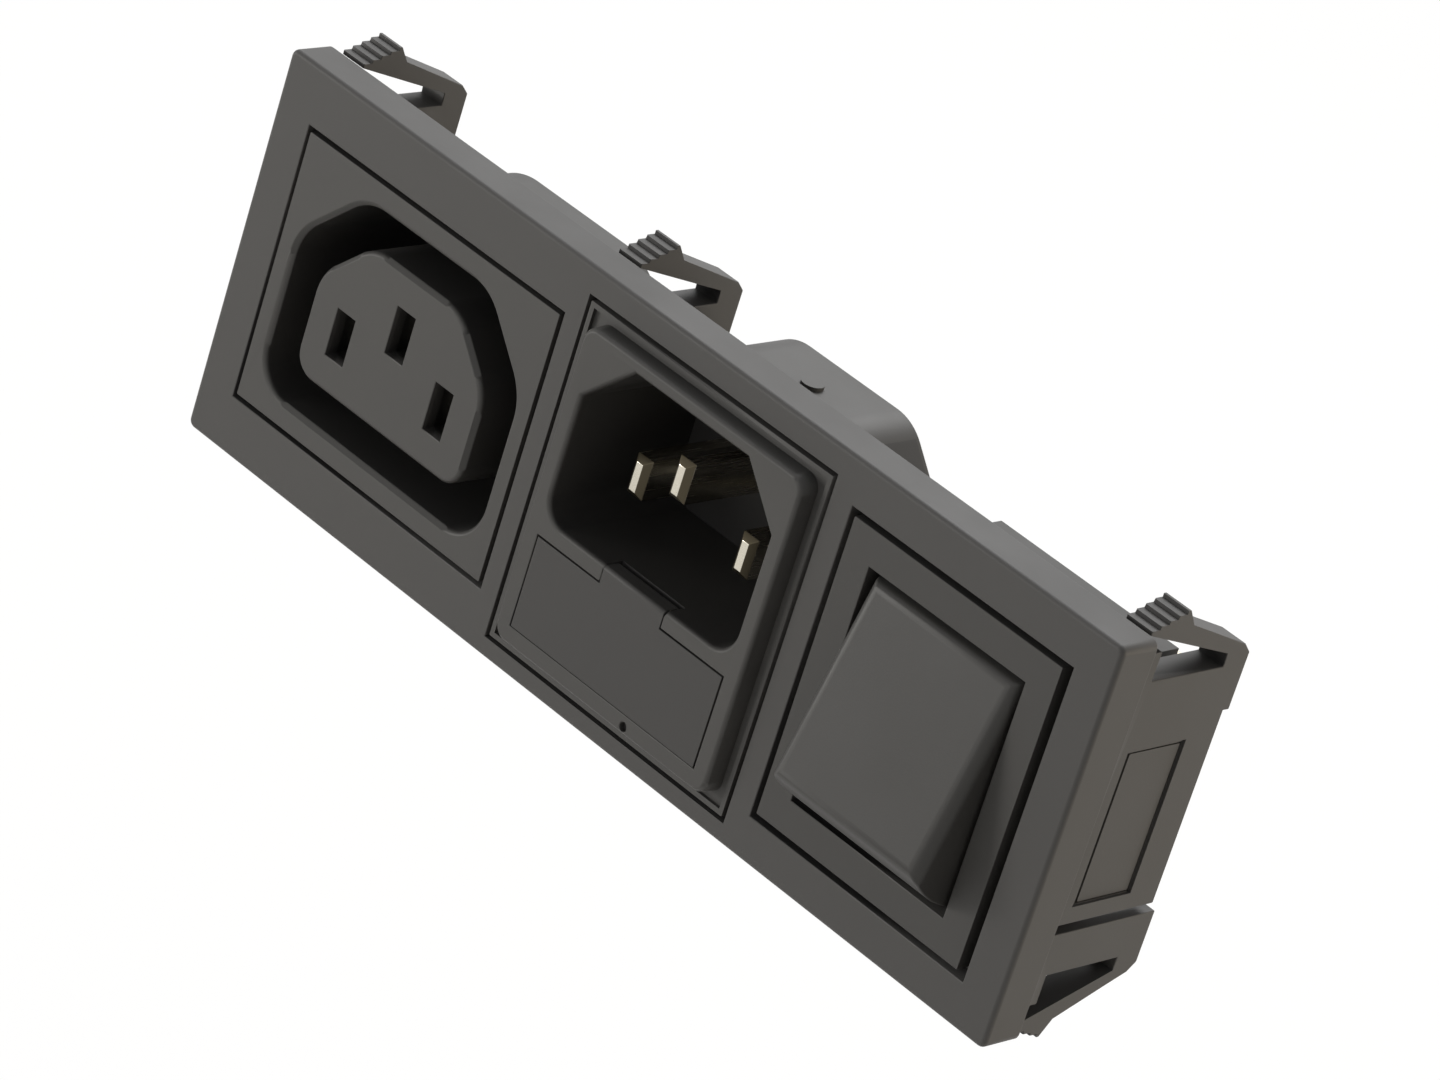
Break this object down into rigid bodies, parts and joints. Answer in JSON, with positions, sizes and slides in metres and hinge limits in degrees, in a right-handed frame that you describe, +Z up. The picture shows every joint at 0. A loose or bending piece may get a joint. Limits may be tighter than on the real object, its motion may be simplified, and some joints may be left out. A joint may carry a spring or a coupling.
{
  "type": "power entry module",
  "caption": "Snap-in power entry panel: a moulded bezel with stepped spring clips holds an appliance outlet, a fused inlet with a fuse drawer, and a rocker switch.",
  "frame": {"origin": "centre of the flange's rear face, which rests on the front of the panel", "axes": "+X to the right seen from the front, +Y into the panel, +Z up"},
  "size_m": [0.109, 0.0332, 0.0424],
  "materials": {
    "bezel_plastic": "black moulded, fine matt",
    "housing_plastic": "black moulded, satin",
    "rocker_plastic": "black moulded, fine matt",
    "terminal_metal": "bright tin plated",
    "spring_steel": "drawn wire",
    "fuse_glass": "clear"
  },
  "bodies": {
    "panel": {"bezel_frame": "bezel_plastic", "outlet_body": "housing_plastic", "outlet_rear_cover": "housing_plastic", "outlet_live_contact": "terminal_metal", "outlet_earth_contact": "terminal_metal", "outlet_neutral_contact": "terminal_metal", "inlet_body": "housing_plastic", "inlet_neutral_pin": "terminal_metal", "inlet_earth_pin": "terminal_metal", "inlet_live_pin": "terminal_metal", "fuse_clip_left": "terminal_metal", "fuse_clip_right": "terminal_metal", "switch_body": "housing_plastic", "pivot_terminal_left": "terminal_metal", "pivot_terminal_right": "terminal_metal", "fixed_terminal_left": "terminal_metal", "fixed_terminal_right": "terminal_metal"},
    "rocker": {"rocker": "rocker_plastic", "plunger_left": "housing_plastic", "plunger_right": "housing_plastic", "plunger_spring_left": "spring_steel", "plunger_spring_right": "spring_steel"},
    "blade_left": {"contact_blade_left": "terminal_metal"},
    "blade_right": {"contact_blade_right": "terminal_metal"},
    "drawer": {"fuse_drawer": "housing_plastic", "fuse_tube": "fuse_glass", "fuse_wire": "terminal_metal", "fuse_cap_left": "terminal_metal", "fuse_cap_right": "terminal_metal"}
  },
  "joints": [
    {"name": "rocker_rock", "type": "hinge", "parent": "panel", "child": "rocker", "pos_m": [0.0365, -0.0003, 0], "axis": [1, 0, 0], "range_deg": [0, 30]},
    {"name": "blade_left_rock", "type": "hinge", "parent": "panel", "child": "blade_left", "pos_m": [0.0319, 0.00732, 0], "axis": [1, 0, 0], "range_deg": [-12, 0]},
    {"name": "blade_right_rock", "type": "hinge", "parent": "panel", "child": "blade_right", "pos_m": [0.0411, 0.00732, 0], "axis": [1, 0, 0], "range_deg": [-12, 0]},
    {"name": "drawer_slide", "type": "slide", "parent": "panel", "child": "drawer", "axis": [0, -1, 0], "range_m": [0, 0.015]}
  ],
  "couplings": [
    {"joint": "blade_left_rock", "follows": "rocker_rock", "ratio": -0.4},
    {"joint": "blade_right_rock", "follows": "rocker_rock", "ratio": -0.4}
  ]
}
